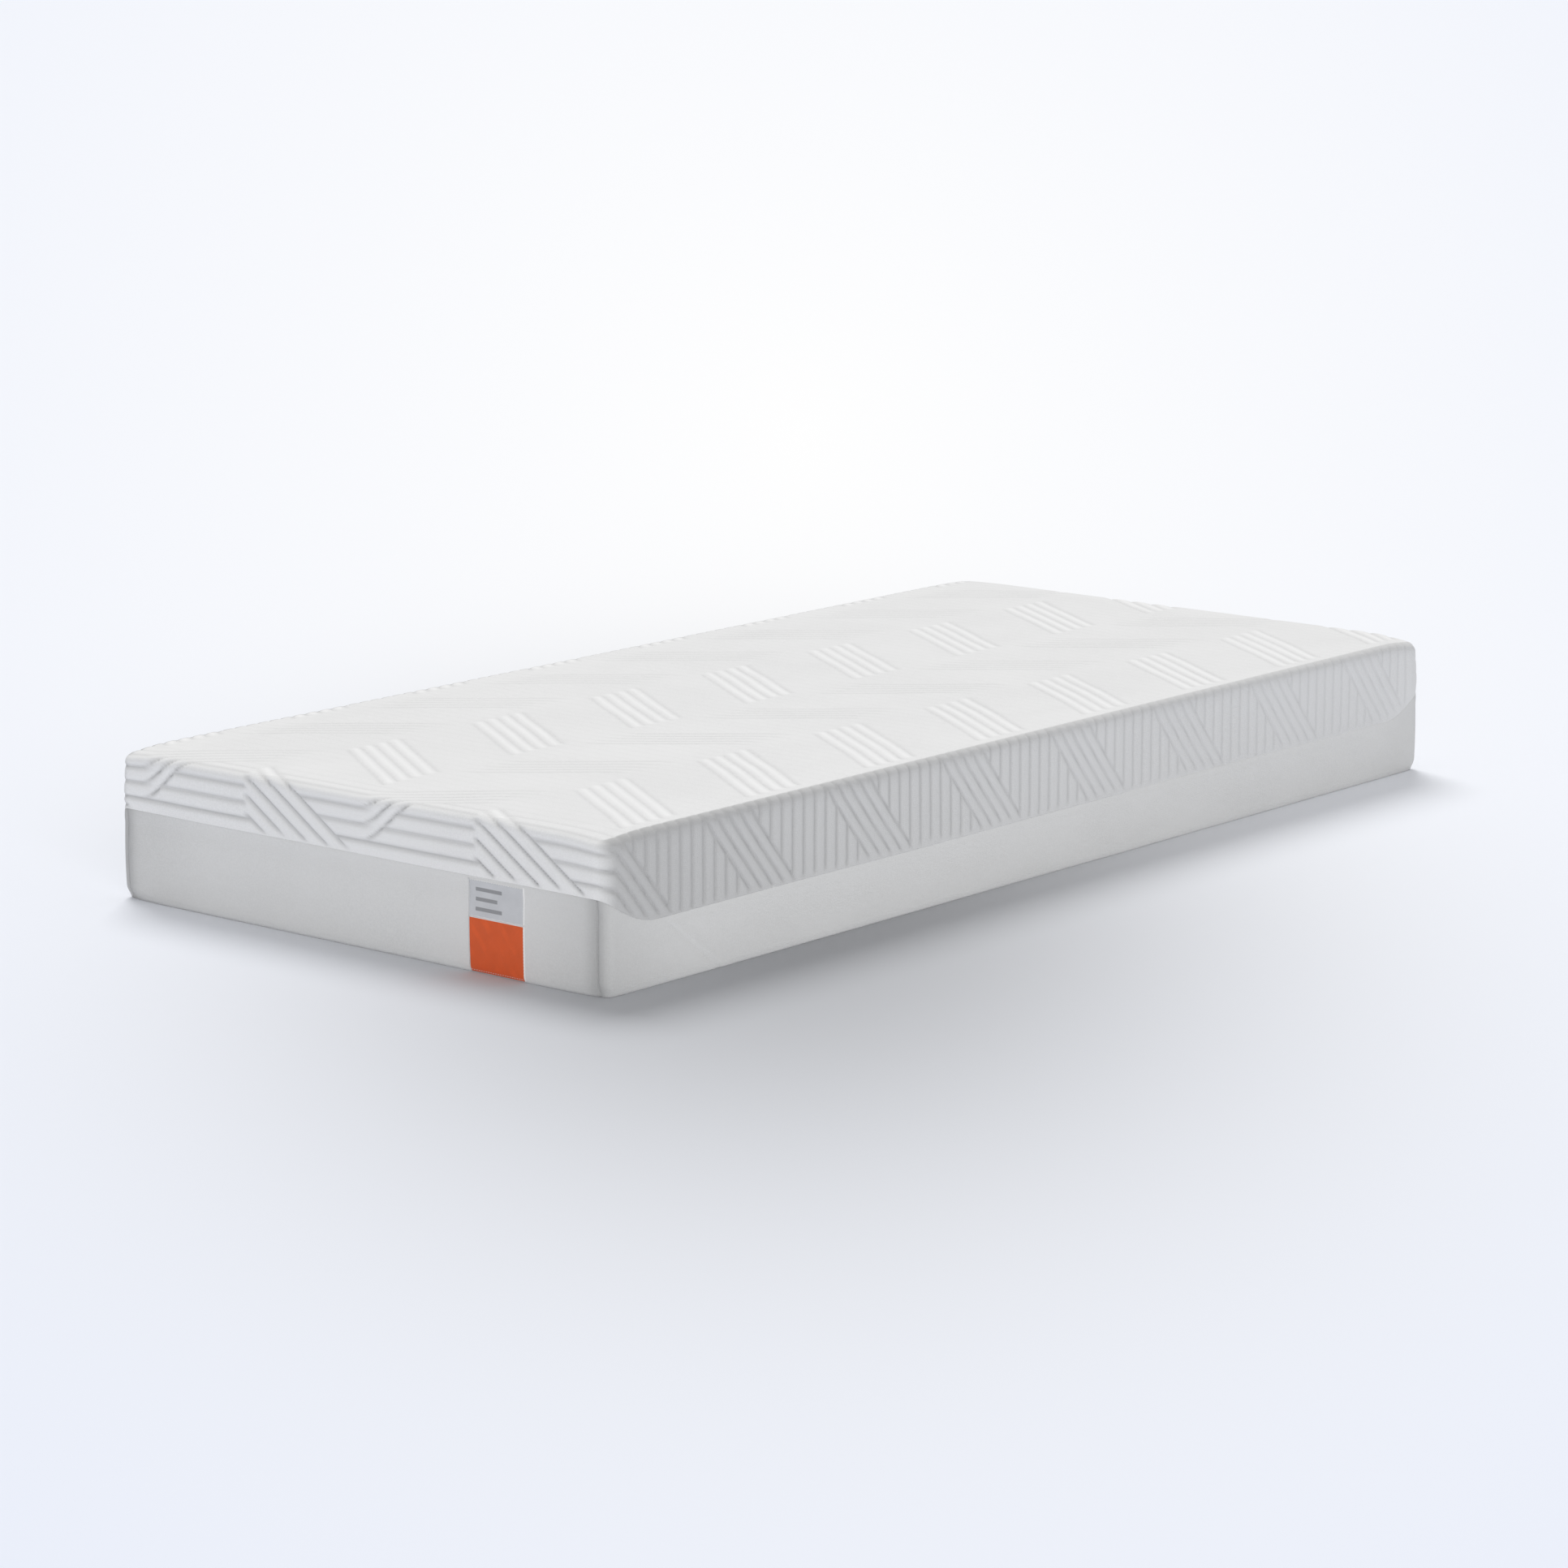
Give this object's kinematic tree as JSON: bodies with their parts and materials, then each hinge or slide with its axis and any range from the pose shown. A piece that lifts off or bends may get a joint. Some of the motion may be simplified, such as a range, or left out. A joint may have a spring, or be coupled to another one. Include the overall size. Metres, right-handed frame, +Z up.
{
  "type": "memory foam mattress",
  "caption": "Low flat foam mattress with a ribbed quilted top cover, plain border, corner label, hidden zip and layered foam core.",
  "frame": {"origin": "on the floor, at the middle of the base", "axes": "+X across the mattress, +Y along it from foot to head, +Z up"},
  "size_m": [0.9, 1.9, 0.21],
  "materials": {
    "base_cloth": "grey woven cloth with small anti-slip dots",
    "border_cloth": "plain pale grey-white fine knit",
    "zip_tape": "woven herringbone tape",
    "zip_coil": "satin moulded nylon",
    "liner": "thin stretch knit",
    "base_foam": "firm open-cell foam",
    "support_foam": "medium open-cell foam",
    "memory_foam": "dense slow-return foam",
    "wadding": "soft matted fibre",
    "quilt_knit": "ribbed quilted pale grey-white knit",
    "label_grey": "smooth woven label",
    "label_orange": "smooth woven label with a faint slanted weave",
    "label_white": "satin ribbon",
    "thread": "polyester thread",
    "grip_rubber": "matt grey rubber dots",
    "zip_metal": "satin zinc"
  },
  "bodies": {
    "base_cover": {"grip_fields": "grip_rubber", "base_panel": "base_cloth", "base_border": "border_cloth", "lower_zip_tape": "zip_tape", "lower_zip_coil": "zip_coil", "lower_zip_stops": "zip_coil"},
    "core": {"inner_liner": "liner", "base_foam": "base_foam", "support_foam": "support_foam", "memory_foam": "memory_foam"},
    "top_cover": {"quilt_backing": "wadding", "quilt_wadding": "wadding", "quilt_face": "quilt_knit", "border_foot": "border_cloth", "border_head": "border_cloth", "border_left": "border_cloth", "border_right": "border_cloth", "border_lining": "wadding", "corner_seams": "border_cloth", "upper_zip_tape": "zip_tape", "upper_zip_coil": "zip_coil", "upper_zip_stops": "zip_coil", "label_grey": "label_grey", "label_orange": "label_orange", "label_stitching": "thread", "care_label": "label_white"},
    "slider": {"zip_slider": "zip_metal", "pull_pin": "zip_metal"},
    "pull": {"zip_pull": "zip_metal"}
  },
  "joints": [
    {"name": "core_lift", "type": "slide", "parent": "base_cover", "child": "core", "axis": [0, 0, 1], "range_m": [0, 0.3]},
    {"name": "cover_lift", "type": "slide", "parent": "core", "child": "top_cover", "axis": [0, 0, 1], "range_m": [0, 0.3]},
    {"name": "slider_travel", "type": "slide", "parent": "base_cover", "child": "slider", "axis": [1, 0, 0], "range_m": [0, 0.82]},
    {"name": "pull_swing", "type": "hinge", "parent": "slider", "child": "pull", "pos_m": [-0.4067, 0.94772, 0.035], "axis": [1, 0, 0], "range_deg": [0, 165]}
  ]
}
